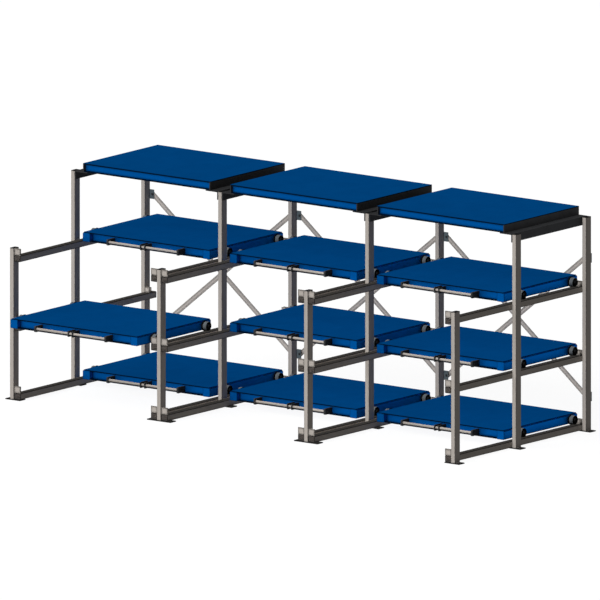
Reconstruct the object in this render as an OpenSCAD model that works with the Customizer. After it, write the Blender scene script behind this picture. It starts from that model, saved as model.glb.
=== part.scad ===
// Mold storage rack: three bays of pull-out trays that roll on rails, under fixed top shelves.
// X runs along the rack, Y to the rear, Z up. The origin is on the floor, in the middle of the
// rectangle of anchor holes at the four corners.

/* [Bays and levels] */
// Distance between neighbouring frames, centre to centre
bay_pitch = 1850; // [1500:5:2400]
// Height from one level of rails to the next
level_pitch = 700; // [450:5:900]

/* [Posts] */
// Width of the post tube along the rack
post_w = 52; // [46:1:64]
// Depth of the post tube from front to rear
post_d = 86; // [76:1:100]
// Wall of the post tube
post_wall = 4; // [3:0.5:6]
// Outer corner radius of the post tube
post_corner = 8; // [7:0.5:14]
// Front post to middle post, centre to centre
middle_setback = 1002; // [900:1:1100]
// Front post to rear post, centre to centre
rear_setback = 2150; // [2050:5:2500]
// Clear height from the top rails to the underside of the top shelves
shelf_clear = 705; // [450:5:900]
// Thickness of the caps on the posts
cap_t = 5; // [3:0.5:8]

/* [Base plates] */
// How far the base plates of the end frames reach past their posts at the rack's ends
plate_wing = 53; // [45:1:90]
// How far the base plates of the inner frames reach past the rails
plate_toe = 44; // [0:1:80]
// How far a base plate reaches past its post to the front and rear
plate_lip = 3; // [2:1:30]
// Thickness of the base plates
plate_t = 10; // [8:1:16]
// Diameter of the anchor holes
anchor_d = 14; // [10:0.5:18]

/* [Rails and stops] */
// Width of the rail tube
rail_w = 78; // [72:1:90]
// Height of the rail tube
rail_h = 65; // [55:1:80]
// Wall of the rail tube
rail_wall = 5; // [3:0.5:6]
// Outer corner radius of the rail tube
rail_corner = 8; // [7:0.5:14]
// How far the rails' front ends lie behind the fronts of the posts
rail_setback = 7; // [0:1:20]
// Height of the front stop plates above the rail
front_stop_h = 70; // [60:1:85]
// Thickness of the front stop plates
front_stop_t = 10; // [6:0.5:14]
// Height of the rear stops above the rail
rear_stop_h = 50; // [46:1:65]
// Depth of the rear stops, from face to face
rear_stop_d = 38; // [30:1:60]
// Width of the rear stops
rear_stop_w = 54; // [48:1:60]
// Plate thickness of the rear stops
rear_stop_t = 8; // [5:0.5:12]
// Rear stops to the backs of the rear posts
rear_stop_in = 66; // [20:1:120]

/* [Trays] */
// Gap between a tray's side tube and the rail beside it
side_gap = 21; // [18:1:30]
// Depth of a tray
tray_d = 1200; // [1190:5:1300]
// Width and height of the square tube along each side of a tray
tube_w = 90; // [80:1:100]
// Wall of the side tubes
tube_wall = 5; // [4:0.5:8]
// Outer corner radius of the side tubes
tube_corner = 10; // [9:0.5:16]
// Thickness of the deck plate
deck_t = 8; // [5:0.5:12]
// How far the deck stays inside the side tubes' outer faces
deck_inset = 14; // [5:1:30]
// How far the front channel's web lies behind the tubes' front ends
web_recess = 50; // [45:1:80]
// Depth of the flanges of the front and rear channels
flange_d = 45; // [30:1:50]
// Plate thickness of the channels
channel_t = 6; // [4:0.5:8]
// How far the rear channel's web lies inside the tubes' rear ends
rear_recess = 50; // [48:1:70]
// Width of the bars across the tray under the deck
joist_w = 50; // [30:1:80]
// Height of the bars across the tray under the deck
joist_h = 40; // [25:1:50]

/* [Wheels] */
// Diameter of the wheel tread
wheel_d = 90; // [84:1:92]
// Width of the wheel tread
tread_w = 42; // [30:1:50]
// Diameter of the guide disc beside the tread
guide_d = 104; // [100:1:116]
// Thickness of the guide disc
guide_t = 14; // [8:1:17]
// Diameter of the axle
axle_d = 25; // [20:1:30]
// Front of the tray to the front axle
front_axle = 247; // [180:1:320]
// Rear axle to the rear of the tray
rear_axle_in = 115; // [75:5:250]
// Wall of the collars between the tray and the guide discs
collar_wall = 8; // [5:0.5:12]
// Wall of the hub round the axle
hub_wall = 9; // [6:0.5:14]
// Width of the rim beside the dished face
rim_w = 9; // [6:0.5:14]
// Depth of the dished face
dish_d = 8; // [4:0.5:14]
// Easing of the tread's edges
tread_ease = 2; // [1:0.5:4]
// Thickness of the axle nuts
nut_t = 10; // [6:0.5:16]
// Axle nut to the axle, measured on the nut's corner
nut_wall = 7; // [5:0.5:10]
// Length of the axle's thread outside its nut
thread_out = 4; // [2:0.5:8]

/* [Handle] */
// Diameter of the handle bar
bar_d = 26; // [20:1:38]
// Length of the handle bar between its end plates
bar_l = 860; // [600:5:1100]
// Height of the handle's plates
handle_h = 60; // [48:1:66]
// Air between the handle's plates and the lower flange of the front channel
handle_seat = 2; // [1:0.5:12]
// Corner radius of the handle's plates
handle_corner = 6; // [2:0.5:12]
// Thickness of the handle's end plates
handle_t = 22; // [10:1:30]
// How far the handle stands in front of the tray
handle_reach = 66; // [50:1:80]
// Bar centre behind the front of the handle
bar_setback = 22; // [20:1:28]
// Thickness of the two cheeks of the middle bracket
cheek_t = 12; // [8:1:18]
// Space between the two cheeks of the middle bracket
cheek_gap = 41; // [30:1:80]

/* [Top shelves] */
// Width of a top shelf
shelf_w = 1600; // [1400:5:1640]
// How far a top shelf's front edge lies behind the fronts of the middle posts
shelf_setback = 3; // [0:1:40]
// How far a top shelf's rear edge lies in front of the backs of the rear posts
shelf_rear_in = 6; // [0:1:40]
// Height of the side bars and channels round a top shelf
shelf_h = 80; // [60:1:100]
// Thickness of the side bars
shelf_side_t = 12; // [6:0.5:16]
// How far the front channel's web lies behind the front edge
shelf_recess = 30; // [22:1:60]
// Height of the upright leg of the shelf angles
angle_h = 85; // [60:1:120]
// How far a shelf angle reaches under the shelf
angle_lap = 55; // [42:1:80]
// Thickness of the shelf angles
angle_t = 10; // [6:0.5:12]

/* [Back braces] */
// Width of the flat brace bars
brace_w = 50; // [30:1:60]
// Thickness of the flat brace bars
brace_t = 6; // [4:0.5:10]
// Height of the gusset plates
gusset_h = 95; // [80:1:140]
// How far a gusset plate reaches past its post
gusset_wing = 45; // [40:1:80]
// Thickness of the gusset plates
gusset_t = 8; // [5:0.5:12]
// Brace bolt to the side of the post
bolt_offset = 27; // [20:1:34]
// Brace bolt to the end of the bar
brace_end = 26; // [20:1:40]
// Height of the lower brace bolts above the floor
brace_low = 347; // [250:1:600]
// Height of the upper brace bolts above the floor
brace_high = 1755; // [1300:5:2000]
// Diameter of the brace bolts
bolt_d = 12; // [8:1:16]
// Thickness of the bolt heads and nuts
head_t = 8; // [5:0.5:12]

/* [Clearances] */
// Air under the wheels, so that tread and rail do not share a face
tread_clear = 0.3; // [0.1:0.05:0.5]
// Radial play of the axles in the tray's bores
axle_clear = 0.05; // [0.02:0.01:0.1]
// Radial play of the bar and of the bolts in their holes
hole_clear = 0.3; // [0.2:0.05:0.6]
// Play between guide disc and rail, and between collar and tray
guide_clear = 1; // [0.5:0.1:2]
// Play between a wheel and a stop at either end of the tray's travel
stop_clear = 1; // [0.5:0.5:4]
// Root gap between neighbouring pieces that are welded, stacked or bolted side by side
root_gap = 0.2; // [0.1:0.05:0.4]

/* [Hidden] */
BAYS = ["left", "centre", "right"];
LEVELS = ["lower", "middle", "upper"];
RACK_NODES = [
    "front_posts", "middle_posts", "rear_posts", "post_caps", "base_plates",
    "runner_rails", "front_stops", "rear_stops",
    "shelf_angles", "shelf_sides", "shelf_channels", "shelf_decks",
    "brace_gussets", "back_braces", "brace_bolts"
];
TRAY_NODES = ["deck", "frame", "handle", "front_wheels", "rear_wheels"];
$fn = 48;

// The tray that stands pulled out at rest
out_bay = 0;
out_level = 1;

// Counts and places along X
bays = len(BAYS);
levels = len(LEVELS);
function frame_x(i) = (i - bays / 2) * bay_pitch;
function bay_x(bay) = (frame_x(bay) + frame_x(bay + 1)) / 2;
bay_clear = bay_pitch - post_w;
tray_w = bay_clear - 2 * rail_w - 2 * side_gap;

// Places along Y
front_y = -rear_setback / 2;
middle_y = front_y + middle_setback;
rear_y = front_y + rear_setback;
rack_front = front_y - post_d / 2;
rack_back = rear_y + post_d / 2;
rail_front = rack_front + rail_setback;
post_rows = [front_y, middle_y, rear_y];
rear_stop_front = rack_back - rear_stop_in - rear_stop_d;
rear_axle = tray_d - rear_axle_in;
wheelbase = rear_axle - front_axle;
tray_in = rear_stop_front - stop_clear - wheel_d / 2 - rear_axle;
tray_out = rail_front + front_stop_t + stop_clear + wheel_d / 2 - front_axle;
function tray_y(bay, level) = bay == out_bay && level == out_level ? tray_out : tray_in;

// Heights
function rail_top(level) = plate_t + rail_h + level * level_pitch;
front_post_top = rail_top(levels - 1) + front_stop_h - cap_t;
shelf_z = rail_top(levels - 1) + shelf_clear;
main_post_top = shelf_z - cap_t;
axle_h = wheel_d / 2 + tread_clear;
tube_z = axle_h - tube_w / 2;
deck_z = tube_z + tube_w;

// Wheel set, measured outwards from the tray's side
disc_start = side_gap - guide_clear - guide_t;
tread_start = side_gap - guide_clear + root_gap;
tread_end = tread_start + tread_w;
axle_end = tread_end + nut_t + thread_out;

// Handle
bar_y = bar_setback - handle_reach;
handle_z = tube_z + channel_t + handle_seat + handle_h / 2;

// Brace geometry between the bolts of one bay
brace_run = bay_clear - 2 * bolt_offset;
brace_rise = brace_high - brace_low;
brace_span = norm([brace_run, brace_rise]);
brace_tilt = atan2(brace_rise, brace_run);
brace_y = rack_back + gusset_t;
bolt_hex = 1.75 * bolt_d;

steel = "#b0a9a2";
dark_steel = "#3a4044";
black_steel = "#232527";
blue = "#004f93";
deck_blue = "#003c71";

// Rounded rectangle about the origin
module rounded(w, h, r) {
    square([w - 2 * r, h], center = true);
    square([w, h - 2 * r], center = true);
    for (x = [-1, 1], y = [-1, 1])
        translate([x * (w / 2 - r), y * (h / 2 - r)])
            circle(r = r);
}

// Section of a tube with rounded corners
module tube_section(w, h, wall, corner) {
    difference() {
        rounded(w, h, corner);
        rounded(w - 2 * wall, h - 2 * wall, corner - wall);
    }
}

// Section of a channel that opens towards +X, web on the Y axis side, standing on the X axis
module channel_section(flange, height, t) {
    difference() {
        square([flange, height]);
        translate([t, t])
            square([flange, height - 2 * t]);
    }
}

// Extrusion of a section drawn in X and Z, run along Y from y = 0 to the given length
module along_y(length) {
    translate([0, length, 0])
        rotate([90, 0, 0])
            linear_extrude(length)
                children();
}

// Extrusion of a section drawn in Y and Z, run along X about the middle
module along_x(length) {
    rotate([90, 0, 90])
        translate([0, 0, -length / 2])
            linear_extrude(length)
                children();
}

// Plate about the middle in X and Y, with its underside at z = 0
module flat_plate(w, d, t) {
    translate([-w / 2, -d / 2, 0])
        cube([w, d, t]);
}

// One row of posts, all of one height
module post_row(y, top) {
    for (i = [0:bays])
        translate([frame_x(i), y, plate_t])
            linear_extrude(top - plate_t)
                tube_section(post_w, post_d, post_wall, post_corner);
}

module front_posts() {
    color(steel)
        post_row(front_y, front_post_top);
}

module middle_posts() {
    color(steel)
        post_row(middle_y, main_post_top);
}

module rear_posts() {
    color(steel)
        post_row(rear_y, main_post_top);
}

module post_caps() {
    color(black_steel)
        for (i = [0:bays], y = post_rows)
            translate([frame_x(i), y, y == front_y ? front_post_top : main_post_top])
                linear_extrude(cap_t)
                    rounded(post_w, post_d, post_corner);
}

// Base plates: the wings of the end frames that no rail covers carry the anchor holes
module base_plates() {
    plate_d = post_d + 2 * plate_lip;
    hole_x = (post_w + plate_wing) / 2;
    color(steel)
        for (i = [0:bays], y = post_rows) {
            left = post_w / 2 + (i == 0 ? plate_wing : i == bays ? rail_w : rail_w + plate_toe);
            right = post_w / 2 + (i == bays ? plate_wing : i == 0 ? rail_w : rail_w + plate_toe);
            translate([frame_x(i), y, 0])
                difference() {
                    translate([(right - left) / 2, 0, 0])
                        flat_plate(left + right, plate_d, plate_t);
                    if (i == 0 || i == bays)
                        translate([i == 0 ? -hole_x : hole_x, 0, -1])
                            cylinder(d = anchor_d, h = plate_t + 2);
                }
        }
}

// Places its child at the front of every rail: x at the rail's middle, z on the rail's top
module at_rails() {
    for (i = [0:bays], side = [-1, 1], level = [0:levels - 1])
        if (i + side >= 0 && i + side <= bays)
            translate([frame_x(i) + side * (post_w + rail_w) / 2, rail_front, rail_top(level)])
                children();
}

module runner_rails() {
    color(steel)
        at_rails()
            translate([0, 0, -rail_h / 2])
                along_y(rack_back - rail_front)
                    tube_section(rail_w, rail_h, rail_wall, rail_corner);
}

module front_stops() {
    color(steel)
        at_rails()
            translate([-rail_w / 2, 0, 0])
                cube([rail_w, front_stop_t, front_stop_h]);
}

// Rear stops: short channels laid across the rail, open at the top
module rear_stops() {
    color(steel)
        at_rails()
            translate([0, rear_stop_front - rail_front, 0])
                along_x(rear_stop_w)
                    difference() {
                        square([rear_stop_d, rear_stop_h]);
                        translate([rear_stop_t, rear_stop_t])
                            square([rear_stop_d - 2 * rear_stop_t, rear_stop_h]);
                    }
}

// Front edge and depth of the top shelves, and the air between them and the posts
shelf_front = middle_y - post_d / 2 + shelf_setback;
shelf_d = rack_back - shelf_rear_in - shelf_front;
shelf_side_gap = (bay_clear - shelf_w) / 2;

// Shelf angles: upright leg on the posts' inner faces, flat leg under the shelf
module shelf_angles() {
    flat_leg = shelf_side_gap + angle_lap;
    length = rack_back - (middle_y - post_d / 2);
    color(black_steel)
        for (bay = [0:bays - 1], side = [0, 1])
            translate([bay_x(bay), middle_y - post_d / 2, shelf_z])
                mirror([side, 0, 0])
                    translate([-bay_clear / 2, 0, 0])
                        along_y(length)
                            union() {
                                translate([0, -angle_h])
                                    square([angle_t, angle_h]);
                                translate([0, -angle_t])
                                    square([flat_leg, angle_t]);
                            }
}

// Flat side bars of the top shelves
module shelf_sides() {
    color(black_steel)
        for (bay = [0:bays - 1], side = [0, 1])
            translate([bay_x(bay), shelf_front, shelf_z])
                mirror([side, 0, 0])
                    translate([-shelf_w / 2, 0, 0])
                        cube([shelf_side_t, shelf_d, shelf_h]);
}

// Front and rear channels of the top shelves, between the side bars, open outwards
module shelf_channels() {
    length = shelf_w - 2 * (shelf_side_t + root_gap);
    channel_flange = shelf_recess + channel_t;
    color(blue)
        for (bay = [0:bays - 1], end = [0, 1])
            translate([bay_x(bay), shelf_front + shelf_d / 2, shelf_z])
                mirror([0, end, 0])
                    translate([0, -shelf_d / 2 + channel_flange, 0])
                        mirror([0, 1, 0])
                            along_x(length)
                                channel_section(channel_flange, shelf_h, channel_t);
}

module shelf_decks() {
    color(deck_blue)
        for (bay = [0:bays - 1])
            translate([bay_x(bay), shelf_front + shelf_d / 2, shelf_z + shelf_h])
                flat_plate(shelf_w, shelf_d, deck_t);
}

// Places its child at every brace bolt, in the plane of the posts' backs. $falling is true where
// the bolt holds the bar that falls from left to right.
module at_brace_bolts() {
    for (i = [0:bays], side = [-1, 1], z = [brace_low, brace_high])
        if (i + side >= 0 && i + side <= bays) {
            $falling = (side > 0) == (z == brace_high);
            translate([frame_x(i) + side * (post_w / 2 + bolt_offset), rack_back, z])
                children();
        }
}

// Hole or shank along Y, from y = 0 to the given length
module along_hole(d, length) {
    translate([0, length, 0])
        rotate([90, 0, 0])
            cylinder(d = d, h = length);
}

// Gusset plates on the backs of the rear posts, one or two wings wide
module brace_gussets() {
    color(dark_steel)
        difference() {
            for (i = [0:bays], z = [brace_low, brace_high]) {
                left = i == 0 ? 0 : gusset_wing;
                right = i == bays ? 0 : gusset_wing;
                translate([frame_x(i) - post_w / 2 - left, rack_back, z - gusset_h / 2])
                    cube([post_w + left + right, gusset_t, gusset_h]);
            }
            at_brace_bolts()
                translate([0, -1, 0])
                    along_hole(bolt_d + 2 * hole_clear, gusset_t + 2);
        }
}

// One flat brace bar about its middle, with three bolt holes, from y = 0 to the rear
module brace_bar() {
    length = brace_span + 2 * brace_end;
    difference() {
        translate([-length / 2, 0, -brace_w / 2])
            cube([length, brace_t, brace_w]);
        for (x = [-1, 0, 1])
            translate([x * brace_span / 2, -1, 0])
                along_hole(bolt_d + 2 * hole_clear, brace_t + 2);
    }
}

// Packing washer between a gusset and the bar that lies behind, from y = 0 to the rear
module brace_washer() {
    difference() {
        along_hole(brace_w, brace_t);
        translate([0, -1, 0])
            along_hole(bolt_d + 2 * hole_clear, brace_t + 2);
    }
}

// Two crossed bars in every bay. The rising bar lies behind the falling one, on packing washers.
module back_braces() {
    color(steel) {
        for (bay = [0:bays - 1], layer = [0, 1])
            translate([bay_x(bay), brace_y + layer * (brace_t + root_gap), (brace_low + brace_high) / 2])
                rotate([0, layer == 0 ? brace_tilt : -brace_tilt, 0])
                    brace_bar();
        at_brace_bolts()
            if (!$falling)
                translate([0, gusset_t, 0])
                    brace_washer();
    }
}

// Hexagon head, shank and nut along Y: the head's bearing face at y = 0, the nut's at the grip
module bolt_and_nut(grip) {
    translate([0, -head_t, 0])
        rotate([-90, 0, 0])
            cylinder(d = bolt_hex, h = head_t, $fn = 6);
    translate([0, -head_t / 2, 0])
        along_hole(bolt_d, grip + head_t);
    translate([0, grip, 0])
        rotate([-90, 0, 0])
            cylinder(d = bolt_hex, h = head_t, $fn = 6);
}

module brace_bolts() {
    color(dark_steel) {
        at_brace_bolts()
            bolt_and_nut(gusset_t + ($falling ? brace_t : 2 * brace_t + root_gap));
        for (bay = [0:bays - 1])
            translate([bay_x(bay), brace_y, (brace_low + brace_high) / 2])
                bolt_and_nut(2 * brace_t + root_gap);
    }
}

// Places its child at a tray: x at the tray's middle, y at its front, z on the rails' top
module at_tray(bay, level) {
    translate([bay_x(bay), tray_y(bay, level), rail_top(level)])
        children();
}

module tray_deck(bay, level) {
    color(deck_blue)
        at_tray(bay, level)
            translate([0, tray_d / 2, deck_z])
                flat_plate(tray_w - 2 * deck_inset, tray_d, deck_t);
}

// Side tube with closed ends, about its own middle in X and Z
module side_tube() {
    difference() {
        along_y(tray_d)
            rounded(tube_w, tube_w, tube_corner);
        translate([0, tube_wall, 0])
            along_y(tray_d - 2 * tube_wall)
                rounded(tube_w - 2 * tube_wall, tube_w - 2 * tube_wall, tube_corner - tube_wall);
        for (y = [front_axle, rear_axle])
            translate([-tube_w / 2 - 1, y, 0])
                rotate([0, 90, 0])
                    cylinder(d = axle_d + 2 * axle_clear, h = tube_w + 2);
    }
}

// Welded tray frame: two side tubes, front and rear channels and two joists under the deck
module tray_frame(bay, level) {
    inner_w = tray_w - 2 * (tube_w + root_gap);
    color(blue)
        at_tray(bay, level) {
            for (side = [-1, 1])
                translate([side * (tray_w - tube_w) / 2, 0, axle_h])
                    side_tube();
            translate([0, web_recess + channel_t, tube_z])
                mirror([0, 1, 0])
                    along_x(inner_w)
                        channel_section(flange_d, tube_w, channel_t);
            translate([0, tray_d - rear_recess - channel_t, tube_z])
                along_x(inner_w)
                    channel_section(flange_d, tube_w, channel_t);
            for (k = [1, 2])
                translate([0, front_axle + k * wheelbase / 3, deck_z - joist_h])
                    flat_plate(inner_w, joist_w, joist_h);
        }
}

// Upright handle plate in Y and Z with eased front corners, from the web to the front of the handle
module handle_plate_outline() {
    depth = web_recess + handle_reach;
    translate([-handle_reach + handle_corner, -handle_h / 2])
        square([depth - handle_corner, handle_h]);
    translate([-handle_reach, -handle_h / 2 + handle_corner])
        square([depth, handle_h - 2 * handle_corner]);
    for (z = [-1, 1])
        translate([-handle_reach + handle_corner, z * (handle_h / 2 - handle_corner)])
            circle(r = handle_corner);
}

module handle_plate_drilled() {
    difference() {
        handle_plate_outline();
        translate([bar_y, 0])
            circle(d = bar_d + 2 * hole_clear);
    }
}

// Pull handle: a round bar between two end plates, through the two cheeks of a middle bracket
module tray_handle(bay, level) {
    at_tray(bay, level)
        translate([0, 0, handle_z]) {
            color(steel)
                translate([0, bar_y, 0])
                    along_x(bar_l - 2 * root_gap)
                        circle(d = bar_d);
            color(black_steel) {
                for (side = [-1, 1])
                    translate([side * (bar_l + handle_t) / 2, 0, 0])
                        along_x(handle_t)
                            handle_plate_outline();
                for (side = [-1, 1])
                    translate([side * (cheek_gap + cheek_t) / 2, 0, 0])
                        along_x(cheek_t)
                            handle_plate_drilled();
            }
        }
}

// Turned profile of one wheel: dished outer face, hub boss and eased tread edges, axis along Z
module wheel_profile() {
    hub = axle_d / 2 + hub_wall;
    bore = axle_d / 2 + axle_clear;
    r = wheel_d / 2;
    polygon([
        [bore, 0], [r - tread_ease, 0], [r, tread_ease],
        [r, tread_w - tread_ease], [r - tread_ease, tread_w],
        [r - rim_w, tread_w], [r - rim_w - dish_d / 2, tread_w - dish_d], [hub, tread_w - dish_d],
        [hub, tread_w], [bore, tread_w]
    ]);
}

// Ring about Z with the axle's bore
module axle_ring(d, t) {
    difference() {
        cylinder(d = d, h = t);
        translate([0, 0, -1])
            cylinder(d = axle_d + 2 * axle_clear, h = t + 2);
    }
}

// Collar, guide disc, wheel and nut at one end of an axle, outwards along Z from the tray's side
module wheel_end() {
    collar_d = axle_d + 2 * collar_wall;
    nut_hex = axle_d + 2 * nut_wall;
    translate([0, 0, guide_clear])
        axle_ring(collar_d, disc_start - guide_clear - root_gap);
    translate([0, 0, disc_start])
        axle_ring(guide_d, guide_t);
    translate([0, 0, tread_start])
        rotate_extrude()
            wheel_profile();
    translate([0, 0, tread_end + root_gap])
        difference() {
            cylinder(d = nut_hex, h = nut_t, $fn = 6);
            translate([0, 0, -1])
                cylinder(d = axle_d + 2 * axle_clear, h = nut_t + 2);
        }
}

// Wheel set: a through axle with a wheel end on each side of the tray
module wheel_set(bay, level, y) {
    color(dark_steel)
        at_tray(bay, level)
            translate([0, y, axle_h]) {
                rotate([0, 90, 0])
                    translate([0, 0, -tray_w / 2 - axle_end])
                        cylinder(d = axle_d, h = tray_w + 2 * axle_end);
                for (side = [0, 1])
                    mirror([side, 0, 0])
                        translate([tray_w / 2, 0, 0])
                            rotate([0, 90, 0])
                                wheel_end();
            }
}

front_posts();
middle_posts();
rear_posts();
post_caps();
base_plates();
runner_rails();
front_stops();
rear_stops();
shelf_angles();
shelf_sides();
shelf_channels();
shelf_decks();
brace_gussets();
back_braces();
brace_bolts();
for (bay = [0:bays - 1], level = [0:levels - 1]) {
    tray = str(BAYS[bay], "_", LEVELS[level], "_");
    tray_deck(bay, level);
    tray_frame(bay, level);
    tray_handle(bay, level);
    wheel_set(bay, level, front_axle);
    wheel_set(bay, level, rear_axle);
}
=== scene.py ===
import math
import bpy
from mathutils import Matrix, Vector


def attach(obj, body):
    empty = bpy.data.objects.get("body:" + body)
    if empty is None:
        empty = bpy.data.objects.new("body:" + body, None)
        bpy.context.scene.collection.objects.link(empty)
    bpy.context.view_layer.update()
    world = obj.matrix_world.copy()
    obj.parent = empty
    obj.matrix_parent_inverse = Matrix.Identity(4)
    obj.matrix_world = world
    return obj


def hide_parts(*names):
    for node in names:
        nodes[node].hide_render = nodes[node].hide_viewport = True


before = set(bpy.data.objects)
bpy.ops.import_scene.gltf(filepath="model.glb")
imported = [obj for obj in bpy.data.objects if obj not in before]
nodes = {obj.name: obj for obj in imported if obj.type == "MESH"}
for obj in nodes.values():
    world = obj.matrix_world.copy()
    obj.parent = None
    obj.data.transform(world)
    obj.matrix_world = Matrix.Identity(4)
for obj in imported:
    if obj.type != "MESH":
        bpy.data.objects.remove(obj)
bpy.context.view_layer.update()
scene = bpy.context.scene
print("frame loaded:", len(nodes), "nodes")

bayNames = ["left", "centre", "right"]
levelNames = ["lower", "middle", "upper"]

# rack sizes that the pieces below share, in metres
rack = {
    "bayPitch": 1.85,
    "levelPitch": 0.7,
    "postRows": [-1.075, -0.073, 1.075],
    "postWide": 0.052,
    "postDeep": 0.086,
    "plate": 0.01,
    "railWide": 0.078,
    "railTall": 0.065,
    "lowestTop": 0.075,
    "trayIn": -0.117,
    "travel": 1.185,
    "trayWidth": 1.6,
    "trayDepth": 1.2,
    "trayTube": 0.09,
}
frameCount = len(bayNames) + 1
frameRow = [(i - len(bayNames) / 2) * rack["bayPitch"] for i in range(frameCount)]
railTops = [rack["lowestTop"] + k * rack["levelPitch"] for k in range(len(levelNames))]


def trayPlaces():
    # name, x of the middle, y of the front edge, z of the rail tops
    for b, bay in enumerate(bayNames):
        for k, level in enumerate(levelNames):
            name = bay + "_" + level
            isOut = name == "left_middle"
            front = rack["trayIn"] - (rack["travel"] if isOut else 0)
            yield name, (b - 1) * rack["bayPitch"], front, railTops[k]


def hasBay(i, side):
    # whether a bay lies beside side frame i, to its left (-1) or right (1)
    return 0 <= i + side < frameCount


# small helpers for the nodes of a finish

def startFinish(name):
    mat = bpy.data.materials.new(name)
    mat.use_nodes = True
    tree = mat.node_tree
    coords = tree.nodes.new("ShaderNodeTexCoord")
    return mat, tree, tree.nodes["Principled BSDF"], coords.outputs["Object"]


def grain(tree, coords, scale, detail=4.0, rough=0.55):
    place = tree.nodes.new("ShaderNodeMapping")
    place.inputs["Scale"].default_value = scale
    noise = tree.nodes.new("ShaderNodeTexNoise")
    noise.inputs["Scale"].default_value = 1.0
    noise.inputs["Detail"].default_value = detail
    noise.inputs["Roughness"].default_value = rough
    tree.links.new(coords, place.inputs["Vector"])
    tree.links.new(place.outputs["Vector"], noise.inputs["Vector"])
    return noise.outputs["Fac"]


def tones(tree, fac, dark, light, low=0.3, high=0.7):
    ramp = tree.nodes.new("ShaderNodeValToRGB")
    ramp.color_ramp.elements[0].position = low
    ramp.color_ramp.elements[0].color = (*dark, 1)
    ramp.color_ramp.elements[1].position = high
    ramp.color_ramp.elements[1].color = (*light, 1)
    tree.links.new(fac, ramp.inputs["Fac"])
    return ramp.outputs["Color"]


def blendTones(tree, fac, a, b, kind="MIX"):
    mix = tree.nodes.new("ShaderNodeMix")
    mix.data_type = "RGBA"
    mix.blend_type = kind
    if isinstance(fac, float):
        mix.inputs["Factor"].default_value = fac
    else:
        tree.links.new(fac, mix.inputs["Factor"])
    tree.links.new(a, mix.inputs[6])
    tree.links.new(b, mix.inputs[7])
    return mix.outputs[2]


def spread(tree, fac, low, high):
    # a noise's usual range stretched over low to high
    ranged = tree.nodes.new("ShaderNodeMapRange")
    ranged.inputs["From Min"].default_value = 0.3
    ranged.inputs["From Max"].default_value = 0.7
    ranged.inputs["To Min"].default_value = low
    ranged.inputs["To Max"].default_value = high
    tree.links.new(fac, ranged.inputs["Value"])
    return ranged.outputs["Result"]


def relief(tree, shader, height, strength, depth):
    bump = tree.nodes.new("ShaderNodeBump")
    bump.inputs["Strength"].default_value = strength
    bump.inputs["Distance"].default_value = depth
    tree.links.new(height, bump.inputs["Height"])
    tree.links.new(bump.outputs["Normal"], shader.inputs["Normal"])


def calc(tree, kind, *values):
    # one math step; each value is a number or a socket
    step = tree.nodes.new("ShaderNodeMath")
    step.operation = kind
    for slot, value in zip(step.inputs, values):
        if isinstance(value, (int, float)):
            slot.default_value = value
        else:
            tree.links.new(value, slot)
    return step.outputs[0]


def axes(tree, socket):
    split = tree.nodes.new("ShaderNodeSeparateXYZ")
    tree.links.new(socket, split.inputs[0])
    return split.outputs


def facing(tree):
    # which way a surface looks, in the piece's own frame
    return axes(tree, next(n for n in tree.nodes if n.type == "TEX_COORD").outputs["Normal"])


def looksAlong(tree, axis, least=0.5):
    # 1 where a face looks along an axis, either way
    return calc(tree, "GREATER_THAN", calc(tree, "ABSOLUTE", facing(tree)[axis]), least)


# how painted shade in corners and wear along edges are found
shadeAndWear = {
    "cornerSamples": 8,
    "cornerLight": (0.25, 0.95),
    "edgeSamples": 6,
    "edgeTurn": (0.9, 0.995),
    "flat": 0.975,
    "patch": 25.0,
    "patchSpread": 0.25,
}


def corners(tree, reach, darkest, ownOnly):
    # 1 in the open, down to darkest deep in a corner: painted shade where corners and recesses lie in shade
    probe = tree.nodes.new("ShaderNodeAmbientOcclusion")
    probe.samples = shadeAndWear["cornerSamples"]
    probe.only_local = ownOnly
    probe.inputs["Distance"].default_value = reach
    ranged = tree.nodes.new("ShaderNodeMapRange")
    ranged.inputs["From Min"].default_value, ranged.inputs["From Max"].default_value = shadeAndWear["cornerLight"]
    ranged.inputs["To Min"].default_value = darkest
    tree.links.new(probe.outputs["AO"], ranged.inputs["Value"])
    return ranged.outputs["Result"]


def darkenTowards(tree, colour, amount, darkTone):
    # colour fades to the given dark tone as amount goes from 1 to 0; carries painted shade as well as real
    # marks
    mix = tree.nodes.new("ShaderNodeMix")
    mix.data_type = "RGBA"
    mix.inputs[6].default_value = (*darkTone, 1)
    tree.links.new(amount, mix.inputs["Factor"])
    tree.links.new(colour, mix.inputs[7])
    return mix.outputs[2]


def openFaces(tree, coords, reach, darkest):
    # 1 on open faces, patchy and darker along sharp edges and rounded corners
    soft = tree.nodes.new("ShaderNodeBevel")
    soft.samples = shadeAndWear["edgeSamples"]
    soft.inputs["Radius"].default_value = reach
    shape = tree.nodes.new("ShaderNodeNewGeometry")
    agree = tree.nodes.new("ShaderNodeVectorMath")
    agree.operation = "DOT_PRODUCT"
    tree.links.new(soft.outputs["Normal"], agree.inputs[0])
    tree.links.new(shape.outputs["Normal"], agree.inputs[1])
    sharp = tree.nodes.new("ShaderNodeMapRange")
    sharp.inputs["From Min"].default_value, sharp.inputs["From Max"].default_value = shadeAndWear["edgeTurn"]
    tree.links.new(agree.outputs["Value"], sharp.inputs["Value"])
    x, y, z = [calc(tree, "ABSOLUTE", part) for part in facing(tree)]
    square = calc(tree, "MAXIMUM", calc(tree, "MAXIMUM", x, y), z)
    flat = calc(tree, "GREATER_THAN", square, shadeAndWear["flat"])
    face = calc(tree, "MINIMUM", sharp.outputs["Result"], flat)
    cover = grain(tree, coords, (shadeAndWear["patch"],) * 3, 3.0)
    patch = spread(tree, cover, darkest, darkest + shadeAndWear["patchSpread"])
    return calc(tree, "MAXIMUM", face, patch)


# finishes

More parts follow.
